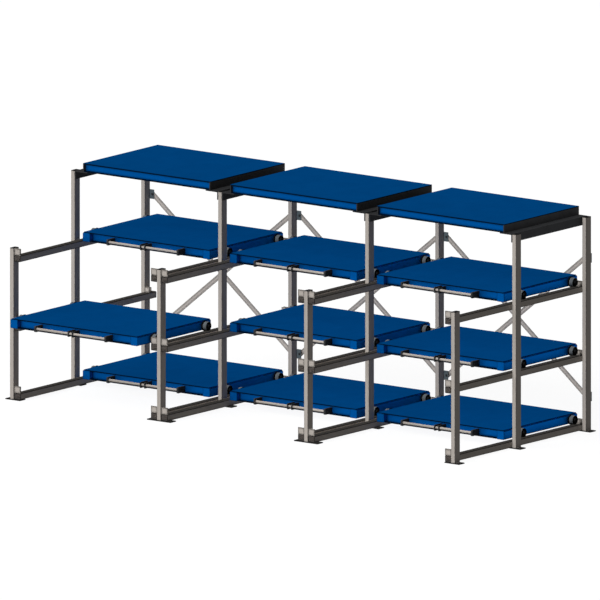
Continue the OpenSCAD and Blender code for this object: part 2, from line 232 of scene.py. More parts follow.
tubeFinish = {
    "dark": (0.385, 0.352, 0.32),
    "light": (0.455, 0.416, 0.378),
    "stain": (0.33, 0.3, 0.272),
    "rough": (0.52, 0.66),
    "gloss": 0.0,
    # painted shade colour for corners and where parts meet
    "darkTone": (0.05, 0.047, 0.045),
    "edge": (0.012, 0.011, 0.0105),
    # painted shade on the rails: their top faces, and inside them a plain grey wall and a dark floor
    "paintedTopShade": (0.026, 0.024, 0.022),
    "insideWall": (0.44, 0.41, 0.39),
    "insideFloor": (0.06, 0.055, 0.052),
    "streakAcross": 90.0,
    "streakAlong": 2.5,
    "cloud": 3.0,
    "stained": 0.5,
    "corner": (0.03, 0.25),
    "rim": (0.013, 0.05),
    "skin": 0.0042,
    "topFacing": 0.55,
    "scuffAndTopShade": 0.93,
    "relief": (0.08, 0.0006),
}


def paintedRailShade(tree, coords, streak, colour):
    # painted shade on the top faces and on the floor inside the tube, whose walls keep a plain grey; end
    # faces darkened to near black
    # painted shade: the top faces are darkened almost to the top shade tone
    up = calc(tree, "GREATER_THAN", facing(tree)[2], tubeFinish["topFacing"])
    scuffAndTopShade = calc(tree, "MULTIPLY", up, spread(tree, streak, tubeFinish["scuffAndTopShade"], 1.0))
    colour = darkenTowards(tree, colour, calc(tree, "SUBTRACT", 1.0, scuffAndTopShade), tubeFinish["paintedTopShade"])
    x, y, z = axes(tree, coords)
    bay, level = rack["bayPitch"] / 2, rack["levelPitch"] / 2
    x = calc(tree, "ABSOLUTE", calc(tree, "WRAP", calc(tree, "SUBTRACT", x, bay), bay, -bay))
    x = calc(tree, "ABSOLUTE", calc(tree, "SUBTRACT", x, (rack["postWide"] + rack["railWide"]) / 2))
    z = calc(tree, "SUBTRACT", z, rack["lowestTop"] - rack["railTall"] / 2)
    z = calc(tree, "ABSOLUTE", calc(tree, "WRAP", z, level, -level))
    wideOut = calc(tree, "GREATER_THAN", x, rack["railWide"] / 2 - tubeFinish["skin"])
    tallOut = calc(tree, "GREATER_THAN", z, rack["railTall"] / 2 - tubeFinish["skin"])
    outside = calc(tree, "MAXIMUM", wideOut, tallOut)
    # painted shade inside the tube: the walls plain grey, the floor dark
    lying = calc(tree, "ABSOLUTE", facing(tree)[2])
    scale = tones(tree, lying, tubeFinish["insideWall"], tubeFinish["insideFloor"])
    colour = blendTones(tree, outside, scale, colour)
    whole = calc(tree, "SUBTRACT", 1.0, looksAlong(tree, 1))
    return darkenTowards(tree, colour, whole, tubeFinish["edge"])


def tubeSteel(name, along, lift=1.0, rim=tubeFinish["rim"], isRail=False, isRound=False):
    # drawn tube: fine streaks along its length over soft cloudy patches
    mat, tree, shader, coords = startFinish(name)
    stretch = [tubeFinish["streakAcross"]] * 3
    stretch[along] = tubeFinish["streakAlong"]
    streak = grain(tree, coords, stretch, 6.0, 0.6)
    cloud = grain(tree, coords, (tubeFinish["cloud"],) * 3, 3.0)
    dark, light, patch = [[c * lift for c in tubeFinish[tone]] for tone in ("dark", "light", "stain")]
    base = tones(tree, streak, dark, light)
    stain = tones(tree, streak, patch, light)
    colour = blendTones(tree, spread(tree, cloud, 0.0, tubeFinish["stained"]), base, stain)
    if not isRound:
        colour = darkenTowards(tree, colour, openFaces(tree, coords, *rim), tubeFinish["edge"])
    # painted shade: darker deep in corners and where parts meet
    colour = darkenTowards(tree, colour, corners(tree, *tubeFinish["corner"], False), tubeFinish["darkTone"])
    if isRail:
        colour = paintedRailShade(tree, coords, streak, colour)
    tree.links.new(colour, shader.inputs["Base Color"])
    tree.links.new(spread(tree, streak, *tubeFinish["rough"]), shader.inputs["Roughness"])
    shader.inputs["Specular IOR Level"].default_value = tubeFinish["gloss"]
    relief(tree, shader, streak, *tubeFinish["relief"])
    return mat


paintFinish = {
    "frame": ((0.0, 0.071, 0.275), (0.0, 0.083, 0.318)),
    # painted light: brighter paint for the tray tubes' side flanks
    "flank": ((0.0, 0.096, 0.373), (0.0, 0.112, 0.431)),
    "deck": ((0.0, 0.043, 0.158), (0.0, 0.049, 0.178)),
    # dark tone for edges, also used as painted shade in corners and on the lower flanges
    "edge": (0.001, 0.008, 0.024),
    "scratch": (0.003, 0.07, 0.235),
    "rough": (0.4, 0.55),
    "gloss": 0.0,
    "flake": 0.65,
    "sheen": (0.0, 0.0, 0.0),
    "cloud": 5.0,
    "peel": 420.0,
    "scuff": (130.0, 3.0, 130.0),
    "scuffLift": (1.22, 0.002),
    "scuffRange": (0.45, 0.8),
    "scratches": (240.0, 1.5, 1.0),
    "scratchRare": 0.25,
    "scratchDepth": 0.4,
    "rim": (0.012, 0.1),
    "corner": (0.025, 0.3),
    "relief": (0.06, 0.0004),
    "tubeGap": 0.0001,
    "trayFlanges": [(0.0, 0.0066), (0.084, 0.0906)],
    "shelfFlanges": [(2.1795, 2.1864), (2.2536, 2.2605)],
}


def flangeEdges(tree, coords, bands, trays):
    # 1 on the channels' lower flanges, dark with painted shade, and on the upper ones' narrow edges, which
    # are also painted dark
    x, y, z = axes(tree, coords)
    if trays:
        z = calc(tree, "WRAP", calc(tree, "SUBTRACT", z, rack["lowestTop"]), rack["levelPitch"], 0.0)
    lower, upper = [
        calc(tree, "MULTIPLY", calc(tree, "GREATER_THAN", z, low), calc(tree, "LESS_THAN", z, high))
        for low, high in bands
    ]
    upper = calc(tree, "MULTIPLY", upper, looksAlong(tree, 1))
    inBand = calc(tree, "MAXIMUM", lower, upper)
    if trays:
        bay = rack["bayPitch"] / 2
        inner = rack["trayWidth"] / 2 - rack["trayTube"] - paintFinish["tubeGap"]
        x = calc(tree, "ABSOLUTE", calc(tree, "WRAP", x, bay, -bay))
        inBand = calc(tree, "MULTIPLY", inBand, calc(tree, "LESS_THAN", x, inner))
    return inBand


def bluePaint(name, pair, scuffs, kind):
    # sprayed enamel: orange peel, cloudy cover and faint scuffs where molds slide in
    mat, tree, shader, coords = startFinish(name)
    cloud = grain(tree, coords, (paintFinish["cloud"],) * 3, 4.0)
    peel = grain(tree, coords, (paintFinish["peel"],) * 3, 2.0)
    scuff = grain(tree, coords, paintFinish["scuff"], 5.0, 0.7)
    base = tones(tree, cloud, *pair)
    lift, add = paintFinish["scuffLift"]
    rubbed = [c * lift + add for c in pair[1]]
    scuffAndTopShade = tones(tree, scuff, pair[0], rubbed, *paintFinish["scuffRange"])
    colour = blendTones(tree, scuffs, base, scuffAndTopShade)
    if kind == "tray":  # painted light: the side tubes' flanks get a brighter copy of the frame paint
        paintedFlankLight = tones(tree, cloud, *paintFinish["flank"])
        colour = blendTones(tree, looksAlong(tree, 0, 0.9), colour, paintedFlankLight)
    if kind == "deck":
        lines = grain(tree, coords, paintFinish["scratches"], 3.0, 0.4)
        lines = calc(tree, "SUBTRACT", lines, paintFinish["scratchRare"])
        kept = spread(tree, lines, 1.0, paintFinish["scratchDepth"])
        colour = darkenTowards(tree, colour, kept, paintFinish["scratch"])
        colour = darkenTowards(tree, colour, looksAlong(tree, 2), paintFinish["edge"])  # cut edges are dark
    else:
        # painted shade: the lower flanges, and the upper flanges' narrow edges, go nearly black
        edges = flangeEdges(tree, coords, paintFinish[kind + "Flanges"], kind == "tray")
        colour = darkenTowards(tree, colour, calc(tree, "SUBTRACT", 1.0, edges), paintFinish["edge"])
        colour = darkenTowards(tree, colour, openFaces(tree, coords, *paintFinish["rim"]), paintFinish["edge"])
        # painted shade: darker in the frame's own recesses and corners
        colour = darkenTowards(tree, colour, corners(tree, *paintFinish["corner"], True), paintFinish["edge"])
        shader.inputs["Metallic"].default_value = paintFinish["flake"]
        shader.inputs["Specular Tint"].default_value = (*paintFinish["sheen"], 1)
    tree.links.new(colour, shader.inputs["Base Color"])
    tree.links.new(spread(tree, scuff, *paintFinish["rough"]), shader.inputs["Roughness"])
    shader.inputs["Specular IOR Level"].default_value = paintFinish["gloss"]
    relief(tree, shader, peel, *paintFinish["relief"])
    return mat


darkFinish = {
    "shelf": ((0.027, 0.0276, 0.029), (0.036, 0.0372, 0.0395)),
    "cap": ((0.008, 0.008, 0.0085), (0.014, 0.014, 0.015)),
    "gusset": ((0.085, 0.106, 0.117), (0.12, 0.148, 0.16)),
    "bolt": ((0.025, 0.026, 0.028), (0.05, 0.052, 0.055)),
    "bracket": ((0.032, 0.033, 0.035), (0.046, 0.0475, 0.05)),
    "weld": ((0.2, 0.185, 0.17), (0.32, 0.295, 0.27)),
    "plate": ((0.018, 0.017, 0.0165), (0.032, 0.03, 0.0285)),
    "wheel": ((0.003, 0.0031, 0.0033), (0.0075, 0.0078, 0.0082)),
    # painted highlight: lighter iron for the wheel treads
    "tread": ((0.09, 0.1, 0.108), (0.125, 0.14, 0.15)),
    "cloud": 9.0,
    "relief": (0.1, 0.0005),
}


def darkMetal(name, pair, rough, metallic=0.0, scale=60.0, rim=0.1):
    # blackened or painted steel with a mottled skin
    mat, tree, shader, coords = startFinish(name)
    cloud = grain(tree, coords, (darkFinish["cloud"],) * 3, 4.0)
    fine = grain(tree, coords, (scale,) * 3, 5.0, 0.65)
    colour = blendTones(tree, 0.5, tones(tree, cloud, *pair), tones(tree, fine, *pair))
    tree.links.new(colour, shader.inputs["Base Color"])
    tree.links.new(spread(tree, fine, *rough), shader.inputs["Roughness"])
    shader.inputs["Metallic"].default_value = metallic
    shader.inputs["Specular IOR Level"].default_value = 0.0
    shader.inputs["Specular Tint"].default_value = (rim, rim, rim, 1)
    relief(tree, shader, fine, *darkFinish["relief"])
    return mat


steelUpright = tubeSteel("steelUpright", along=2, lift=1.07, rim=(0.008, 0.5))
steelRail = tubeSteel("steelRail", along=1, isRail=True)
# painted light: the rear stops, in shade behind the wheels, get a brighter copy of the tube steel
steelStopLit = tubeSteel("steelStopLit", along=1, lift=1.3, rim=(0.02, 0.05))
stopPlate = tubeSteel("stopPlate", along=0, lift=1.12, rim=(0.028, 0.05))
# painted light: the back braces, in the key lamp's shadow, get a brighter copy of the tube steel
braceBarLit = tubeSteel("braceBarLit", along=0, lift=1.28, rim=(0.03, 0.05))
trayPaint = bluePaint("trayPaint", paintFinish["frame"], scuffs=0.25, kind="tray")
shelfPaint = bluePaint("shelfPaint", paintFinish["frame"], scuffs=0.25, kind="shelf")
deckPaint = bluePaint("deckPaint", paintFinish["deck"], scuffs=0.3, kind="deck")
shelfBlack = darkMetal("shelfBlack", darkFinish["shelf"], rough=(0.45, 0.6), metallic=0.6, rim=0.3)
capBlack = darkMetal("capBlack", darkFinish["cap"], rough=(0.55, 0.7), scale=140.0)
gussetGrey = darkMetal("gussetGrey", darkFinish["gusset"], rough=(0.45, 0.6))
boltZinc = darkMetal("boltZinc", darkFinish["bolt"], rough=(0.35, 0.5), scale=180.0)
bracketBlack = darkMetal("bracketBlack", darkFinish["bracket"], rough=(0.42, 0.58), metallic=0.3)
barSteel = tubeSteel("barSteel", along=0, isRound=True)
weldSteel = darkMetal("weldSteel", darkFinish["weld"], rough=(0.4, 0.55), scale=220.0)
plateSteel = darkMetal("plateSteel", darkFinish["plate"], rough=(0.5, 0.65))
wheelIron = darkMetal("wheelIron", darkFinish["wheel"], rough=(0.4, 0.55), scale=120.0)
treadHighlightIron = darkMetal("treadHighlightIron", darkFinish["tread"], rough=(0.35, 0.5), scale=120.0)
print("finishes made:", len(bpy.data.materials))


def dress(name, mat):
    nodes[name].data.materials.clear()
    nodes[name].data.materials.append(mat)


for name in ("front_posts", "middle_posts", "rear_posts"):
    dress(name, steelUpright)
dress("runner_rails", steelRail)
dress("rear_stops", steelStopLit)
dress("base_plates", plateSteel)
dress("front_stops", stopPlate)
dress("back_braces", braceBarLit)
for name in ("shelf_angles", "shelf_sides"):
    dress(name, shelfBlack)
dress("shelf_channels", shelfPaint)
dress("shelf_decks", deckPaint)
dress("brace_gussets", gussetGrey)
for name, x, front, z in trayPlaces():
    dress(name + "_deck", deckPaint)
    dress(name + "_frame", trayPaint)
print("nodes dressed")

# small helpers for modelling

def freshStart():
    if bpy.context.object and bpy.context.object.mode != "OBJECT":
        bpy.ops.object.mode_set(mode="OBJECT")
    bpy.ops.object.select_all(action="DESELECT")


def pickFaces(obj, test):
    # leaves the object in edit mode with the faces that pass the test selected
    bpy.ops.object.mode_set(mode="EDIT")
    bpy.ops.mesh.select_mode(type="FACE")
    bpy.ops.mesh.select_all(action="DESELECT")
    bpy.ops.object.mode_set(mode="OBJECT")
    for face in obj.data.polygons:
        face.select = test(face.center, face.normal)
    bpy.ops.object.mode_set(mode="EDIT")


def pickEdges(obj, test):
    # the same for edges; the test gets the two ends
    bpy.ops.object.mode_set(mode="EDIT")
    bpy.ops.mesh.select_mode(type="EDGE")
    bpy.ops.mesh.select_all(action="DESELECT")
    bpy.ops.object.mode_set(mode="OBJECT")
    points = obj.data.vertices
    for edge in obj.data.edges:
        edge.select = test(points[edge.vertices[0]].co, points[edge.vertices[1]].co)
    bpy.ops.object.mode_set(mode="EDIT")


def settle():
    # back to object mode, with place and size in the mesh
    bpy.ops.object.mode_set(mode="OBJECT")
    bpy.ops.object.transform_apply(location=True, rotation=True, scale=True)
    return bpy.context.object


def easeEdges(obj, width, segments=2, angle=40):
    ease = obj.modifiers.new("ease", "BEVEL")
    ease.width = width
    ease.segments = segments
    ease.limit_method = "ANGLE"
    ease.angle_limit = math.radians(angle)
    bpy.ops.object.modifier_apply(modifier=ease.name)


def addBlock(size, middle):
    freshStart()
    bpy.ops.mesh.primitive_cube_add(size=1, location=middle)
    bpy.context.object.scale = size
    return settle()


def addRound(sides, radius, length, middle, axis):
    freshStart()
    turn = {"X": (0, math.pi / 2, 0), "Y": (math.pi / 2, 0, 0), "Z": (0, 0, 0)}[axis]
    bpy.ops.mesh.primitive_cylinder_add(
        vertices=sides, radius=radius, depth=length, location=middle, rotation=turn)
    return settle()


def pushFaces(along, grow):
    # extrudes the selected faces along X and resizes them across it
    bpy.ops.mesh.extrude_region_move(TRANSFORM_OT_translate={"value": (along, 0, 0)})
    bpy.ops.transform.resize(value=(1, grow, grow))


def joinAll(parts, name):
    freshStart()
    for part in parts:
        part.select_set(True)
    bpy.context.view_layer.objects.active = parts[0]
    if len(parts) > 1:
        bpy.ops.object.join()
    whole = bpy.context.object
    whole.name = name
    whole.data.name = name
    return whole


def copyAt(model, move):
    part = model.copy()
    part.data = model.data.copy()
    part.data.transform(move)
    if move.determinant() < 0:
        part.data.flip_normals()
    scene.collection.objects.link(part)
    return part


def placeCopies(model, moves, name):
    # one copy of the model for each move, joined; the model itself goes
    parts = [copyAt(model, move) for move in moves]
    bpy.data.objects.remove(model)
    return joinAll(parts, name)


def smoothByAngle(obj, degrees=32):
    freshStart()
    obj.select_set(True)
    bpy.context.view_layer.objects.active = obj
    bpy.ops.object.shade_smooth_by_angle(angle=math.radians(degrees))


def shift(x, y, z):
    return Matrix.Translation((x, y, z))


# caps on the posts: moulded, with a shallow dish and eased rim

capSizes = {
    "thick": 0.005,
    "corner": 0.008,
    "rim": 0.008,
    "dish": 0.0012,
    "ease": 0.0012,
    "low": 1.54,
    "high": 2.175,
}


def makePostCaps():
    thick = capSizes["thick"]
    cap = addBlock((rack["postWide"], rack["postDeep"], thick), (0, 0, thick / 2))
    pickEdges(cap, lambda a, b: abs(a.z - b.z) > 0.8 * thick)
    bpy.ops.mesh.bevel(offset=capSizes["corner"], segments=5, affect="EDGES")
    settle()
    pickFaces(cap, lambda c, n: n.z > 0.9)
    bpy.ops.mesh.inset(thickness=capSizes["rim"])
    bpy.ops.transform.translate(value=(0, 0, -capSizes["dish"]))
    settle()
    easeEdges(cap, capSizes["ease"])
    cap.data.materials.append(capBlack)
    moves = []
    for x in frameRow:
        for row, y in enumerate(rack["postRows"]):
            moves.append(shift(x, y, capSizes["low"] if row == 0 else capSizes["high"]))
    caps = placeCopies(cap, moves, "postCaps")
    smoothByAngle(caps)
    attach(caps, "rack")
    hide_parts("post_caps")


makePostCaps()
print("post caps made")

# brace bolts: washer and chamfered hexagon on both ends

boltSizes = {
    "hex": 0.0105,
    "washer": 0.0135,
    "washerThick": 0.0018,
    "washerEase": 0.0005,
    "height": 0.008,
    "chamfer": 0.0014,
    "land": 0.00224,
    "offset": 0.053,
    "heights": [0.347, 1.755],
    "face": 1.118,
    "gusset": 0.008,
    "thin": 0.014,
    "thick": 0.0202,
    "cross": 0.0122,
}


def makeBraceBolts():
    tall, flat = boltSizes["height"], boltSizes["washerThick"]
    washer = addRound(28, boltSizes["washer"], flat, (0, -flat / 2, 0), "Y")
    easeEdges(washer, boltSizes["washerEase"], 1)
    head = addRound(6, boltSizes["hex"], tall - flat, (0, -(tall + flat) / 2, 0), "Y")
    pickFaces(head, lambda c, n: n.y < -0.9)
    bpy.ops.mesh.inset(thickness=boltSizes["land"])
    settle()
    reach = boltSizes["hex"] - 1e-4
    pickEdges(head, lambda a, b: max(a.y, b.y) < -tall + 1e-5 and min(a.xz.length, b.xz.length) > reach)
    bpy.ops.mesh.bevel(offset=boltSizes["chamfer"], segments=2, affect="EDGES")
    settle()
    model = joinAll([head, washer], "boltEnd")
    model.data.materials.append(boltZinc)
    face, turn = boltSizes["face"], Matrix.Rotation(math.pi, 4, "Z")
    moves = []
    for i, x in enumerate(frameRow):
        for side in (-1, 1):
            if not hasBay(i, side):
                continue
            for high, z in enumerate(boltSizes["heights"]):
                falling = (side > 0) == (high == 1)
                grip = boltSizes["thin"] if falling else boltSizes["thick"]
                place = x + side * boltSizes["offset"]
                moves += [shift(place, face, z), shift(place, face + grip, z) @ turn]
    middle = sum(boltSizes["heights"]) / 2
    for b in (-1, 0, 1):
        x, y = b * rack["bayPitch"], face + boltSizes["gusset"]
        moves += [shift(x, y, middle), shift(x, y + boltSizes["cross"], middle) @ turn]
    bolts = placeCopies(model, moves, "braceBolts")
    smoothByAngle(bolts)
    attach(bolts, "rack")
    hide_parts("brace_bolts")


makeBraceBolts()
print("brace bolts made")

# pull handles: bright bar with flared weld ends, dark plates with eased corners

handleSizes = {
    "barRadius": 0.013,
    "barLength": 0.86,
    "flare": 0.006,
    "flareGrowth": [1.05, 1.14],
    "setback": -0.044,
    "height": 0.0383,
    "front": -0.066,
    "web": 0.05,
    "tall": 0.06,
    "corner": 0.006,
    "ease": 0.001,
    "plate": 0.022,
    "cheek": 0.012,
    "cheekGap": 0.041,
}


def makeHandleBar():
    half, flare, growth = handleSizes["barLength"] / 2, handleSizes["flare"], handleSizes["flareGrowth"]
    place = (0, handleSizes["setback"], handleSizes["height"])
    bar = addRound(40, handleSizes["barRadius"], 2 * (half - flare), place, "X")
    for side in (-1, 1):
        pickFaces(bar, lambda c, n: n.x * side > 0.9)
        for grow in growth:
            pushFaces(side * flare / len(growth), grow)
        settle()
    bar.data.materials.append(barSteel)
    bar.name = "handleBar"
    return bar


def makeHandlePlate(thick, x):
    front = handleSizes["front"]
    depth = handleSizes["web"] - front
    plate = addBlock((thick, depth, handleSizes["tall"]), (x, front + depth / 2, handleSizes["height"]))
    nose = front + handleSizes["corner"]
    pickEdges(plate, lambda a, b: abs(a.x - b.x) > thick / 2 and max(a.y, b.y) < nose)
    bpy.ops.mesh.bevel(offset=handleSizes["corner"], segments=4, affect="EDGES")
    settle()
    easeEdges(plate, handleSizes["ease"])
    return plate


def makeHandles():
    far = (handleSizes["barLength"] + handleSizes["plate"]) / 2
    near = (handleSizes["cheekGap"] + handleSizes["cheek"]) / 2
    plates = [makeHandlePlate(handleSizes["plate"], side * far) for side in (-1, 1)]
    plates += [makeHandlePlate(handleSizes["cheek"], side * near) for side in (-1, 1)]
    plates = joinAll(plates, "handlePlates")
    plates.data.materials.append(bracketBlack)
    bar = makeHandleBar()
    for model, label in ((bar, "handleBar_"), (plates, "handlePlates_")):
        for name, x, front, z in trayPlaces():
            piece = joinAll([copyAt(model, shift(x, front, z))], label + name)
            smoothByAngle(piece)
            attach(piece, name + "_tray")
            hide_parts(name + "_handle")
        bpy.data.objects.remove(model)


makeHandles()
print("handles made")

# wheel sets: axle, collars, guide discs, dished wheels and chamfered nuts

wheelSizes = {
    "height": 0.0453,
    "frontAxle": 0.247,
    "rearAxle": 1.085,
    "axle": 0.0125,
    "axleEase": 0.001,
    "collar": 0.0205,
    "collarFrom": 0.001,
    "collarEase": 0.0008,
    "disc": 0.052,
    "discFrom": 0.006,
    "discThick": 0.014,
    "discRim": 0.012,
    "discDish": 0.004,
    "discEase": 0.002,
    "tread": 0.045,
    "treadFrom": 0.0202,
    "treadWide": 0.042,
    "treadShare": 0.96,
    "treadEase": 0.0016,
    "rim": 0.009,
    "dish": 0.008,
    "dishTaper": 0.9,
    "hub": 0.0215,
    "hubTaper": 0.94,
    "nut": 0.0195,
    "nutThick": 0.01,
    "nutGap": 0.0002,
    "nutChamfer": 0.0022,
    "tip": 0.004,
    "tipEase": 0.0012,
    "tipRim": 0.0073,
    "drill": 0.003,
    "drillTaper": 0.3,
}


def addWheelRound(sides, radius, start, length):
    # a round on the axle's line; start is counted from the tray's side
    middle = rack["trayWidth"] / 2 + start + length / 2
    return addRound(sides, radius, length, (middle, 0, 0), "X")


def makeCollar():
    start = wheelSizes["collarFrom"]
    collar = addWheelRound(32, wheelSizes["collar"], start, wheelSizes["discFrom"] - start)
    easeEdges(collar, wheelSizes["collarEase"], 1)
    collar.data.materials.append(wheelIron)
    return collar


def makeGuideDisc():
    disc = addWheelRound(64, wheelSizes["disc"], wheelSizes["discFrom"], wheelSizes["discThick"])
    pickFaces(disc, lambda c, n: n.x < -0.9)
    bpy.ops.mesh.inset(thickness=wheelSizes["discRim"])
    bpy.ops.transform.translate(value=(wheelSizes["discDish"], 0, 0))
    settle()
    easeEdges(disc, wheelSizes["discEase"], 3)
    disc.data.materials.append(wheelIron)
    return disc


def makeWheel():
    tread, rim, dish, taper = [wheelSizes[size] for size in ("tread", "rim", "dish", "dishTaper")]
    wheel = addWheelRound(64, tread, wheelSizes["treadFrom"], wheelSizes["treadWide"])
    pickFaces(wheel, lambda c, n: n.x > 0.9)
    bpy.ops.mesh.inset(thickness=rim)
    pushFaces(-dish, taper)
    bpy.ops.mesh.inset(thickness=(tread - rim) * taper - wheelSizes["hub"])
    pushFaces(dish, wheelSizes["hubTaper"])
    settle()
    easeEdges(wheel, wheelSizes["treadEase"], 2, 25)
    wheel.data.materials.append(wheelIron)
    wheel.data.materials.append(treadHighlightIron)
    for face in wheel.data.polygons:  # painted highlight: the tread gets a brighter copy of the dark iron, the side faces keep the darker one
        isOuter = face.center.yz.length > tread * wheelSizes["treadShare"]
        face.material_index = 1 if isOuter and abs(face.normal.x) < 0.5 else 0
    return wheel


def makeNutAndTip():
    thick = wheelSizes["nutThick"]
    start = wheelSizes["treadFrom"] + wheelSizes["treadWide"] + wheelSizes["nutGap"]
    outer = rack["trayWidth"] / 2 + start + thick
    nut = addWheelRound(6, wheelSizes["nut"], start, thick)
    pickEdges(nut, lambda a, b: min(a.x, b.x) > outer - 1e-5)
    bpy.ops.mesh.bevel(offset=wheelSizes["nutChamfer"], segments=2, affect="EDGES")
    settle()
    tip = addWheelRound(28, wheelSizes["axle"], start + thick, wheelSizes["tip"])
    easeEdges(tip, wheelSizes["tipEase"], 2)
    pickFaces(tip, lambda c, n: n.x > 0.99)
    bpy.ops.mesh.inset(thickness=wheelSizes["tipRim"])
    pushFaces(-wheelSizes["drill"], wheelSizes["drillTaper"])
    settle()
    for part in (nut, tip):
        part.data.materials.append(capBlack)
    return [nut, tip]


def makeWheelSets():
    model = joinAll([makeWheel(), makeCollar(), makeGuideDisc()] + makeNutAndTip(), "wheelEnd")
    length = rack["trayWidth"] + 2 * wheelSizes["collarFrom"]
    axle = addRound(36, wheelSizes["axle"], length, (0, 0, 0), "X")
    easeEdges(axle, wheelSizes["axleEase"], 1)
    axle.data.materials.append(boltZinc)
    ends = placeCopies(model, [Matrix.Identity(4), Matrix.Scale(-1, 4, (1, 0, 0))], "wheelEnds")
    whole = joinAll([ends, axle], "wheelSet")
    for name, x, front, z in trayPlaces():
        for place in ("front", "rear"):
            move = shift(x, front + wheelSizes[place + "Axle"], z + wheelSizes["height"])
            piece = joinAll([copyAt(whole, move)], "wheels_" + name + "_" + place)
            smoothByAngle(piece)
            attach(piece, name + "_" + place + "_wheelset")
            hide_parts(name + "_" + place + "_wheels")
    bpy.data.objects.remove(whole)


makeWheelSets()
print("wheel sets made")

# weld beads: one rippled bead, stretched and set into the grooves

beadSizes = {"radius": 0.004, "sides": 7, "ripples": 7, "dip": 0.84, "tip": 0.45, "smooth": 60}


def makeBead(finish):
    # unit bead along Z
    tip, count = beadSizes["tip"], beadSizes["ripples"]
    freshStart()
    bpy.ops.mesh.primitive_circle_add(
        vertices=beadSizes["sides"], radius=beadSizes["radius"] * tip,
        fill_type="NGON", location=(0, 0, -0.5))
    bpy.ops.object.mode_set(mode="EDIT")
    bpy.ops.mesh.select_all(action="SELECT")
    size = tip
    for k in range(count):
        bpy.ops.mesh.extrude_region_move(TRANSFORM_OT_translate={"value": (0, 0, 1.0 / count)})
        ripple = 1.0 if k % 2 == 0 else beadSizes["dip"]
        target = tip if k == count - 1 else ripple
        bpy.ops.transform.resize(value=(target / size, target / size, 1))
        size = target
    bpy.ops.mesh.select_all(action="SELECT")
    bpy.ops.mesh.normals_make_consistent(inside=False)
    bead = settle()
    bead.data.materials.append(finish)
    return bead


def beadAt(length, place, axis):
    turns = {"X": Matrix.Rotation(math.pi / 2, 4, "Y"), "Y": Matrix.Rotation(math.pi / 2, 4, "X")}
    turn = turns.get(axis, Matrix.Identity(4))
    return Matrix.Translation(place) @ turn @ Matrix.Scale(length, 4, (0, 0, 1))


# the first six are lengths of beads
rackWelds = {
    "foot": 0.064,
    "railEdge": 0.066,
    "railGroove": 0.046,
    "angle": 0.07,
    "frontStop": 0.058,
    "rearStop": 0.044,
    "angleHeight": 2.135,
    "railSetback": 0.007,
    "frontStopBack": 0.0105,
    "rearStopFront": 1.0135,
    "inset": 0.002,
    "footLift": 0.001,
    "stopLift": 0.0005,
}


def railWelds(x, y, row, side):
    # beads where the rails on one side meet a post: along their edges and up the grooves
    tall, inset = rack["railTall"], rackWelds["inset"]
    edgeX = x + side * (rack["postWide"] / 2 + inset)
    grooveX = x + side * (rack["postWide"] / 2 - inset)
    moves = []
    for k, top in enumerate(railTops):
        edges = [top - inset]
        if k > 0:  # the lowest rails lie on the base plates
            edges.append(top - tall + inset)
        for z in edges:
            moves.append(beadAt(rackWelds["railEdge"], (edgeX, y, z), "Y"))
        for end in (-1, 1):
            if row > 0 or end > 0:  # the rails stop short of the front posts' front edges
                place = (grooveX, y + end * (rack["postDeep"] / 2 - inset), top - tall / 2)
                moves.append(beadAt(rackWelds["railGroove"], place, "Z"))
    return moves


def footWeld(x, y, side):
    lift = rackWelds["footLift"]
    return beadAt(rackWelds["foot"], (x + side * (rack["postWide"] / 2 + lift), y, rack["plate"] + lift), "Y")


def angleWelds(x, y, side):
    # up both edges of a post where a shelf angle meets it
    inset, z = rackWelds["inset"], rackWelds["angleHeight"]
    grooveX = x + side * (rack["postWide"] / 2 - inset)
    grooveY = rack["postDeep"] / 2 - inset
    return [beadAt(rackWelds["angle"], (grooveX, y + end * grooveY, z), "Z") for end in (-1, 1)]


def stopWelds(x, side):
    # across the rails' tops, at the front stop plates and the rear stops
    middle = x + side * (rack["postWide"] + rack["railWide"]) / 2
    railFront = rack["postRows"][0] - rack["postDeep"] / 2 + rackWelds["railSetback"]
    moves = []
    for top in railTops:
        z = top + rackWelds["stopLift"]
        moves.append(beadAt(rackWelds["frontStop"], (middle, railFront + rackWelds["frontStopBack"], z), "X"))
        moves.append(beadAt(rackWelds["rearStop"], (middle, rackWelds["rearStopFront"], z), "X"))
    return moves


def makeRackWelds():
    steel, black = [], []
    for i, x in enumerate(frameRow):
        for side in (-1, 1):
            for row, y in enumerate(rack["postRows"]):
                if not hasBay(i, side):
                    steel.append(footWeld(x, y, side))
                    continue
                steel += railWelds(x, y, row, side)
                if row > 0:
                    black += angleWelds(x, y, side)
            if hasBay(i, side):
                steel += stopWelds(x, side)
    kinds = [("rackWelds", steel, weldSteel, "tube_steel"), ("angleWelds", black, shelfBlack, "dark_steel")]
    for name, moves, finish, slot in kinds:
        welds = placeCopies(makeBead(finish), moves, name)
        smoothByAngle(welds, beadSizes["smooth"])
        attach(welds, "rack")
        print(name, len(moves))


# channel, bracket and deck are lengths of beads
trayWelds = {
    "channel": 0.076,
    "channelY": 0.0488,
    "channelIn": 0.001,
    "bracket": 0.052,
    "bracketY": 0.049,
    "deck": 0.07,
    "deckX": 0.7868,
    "deckHeight": 0.0908,
    "deckCount": 6,
}


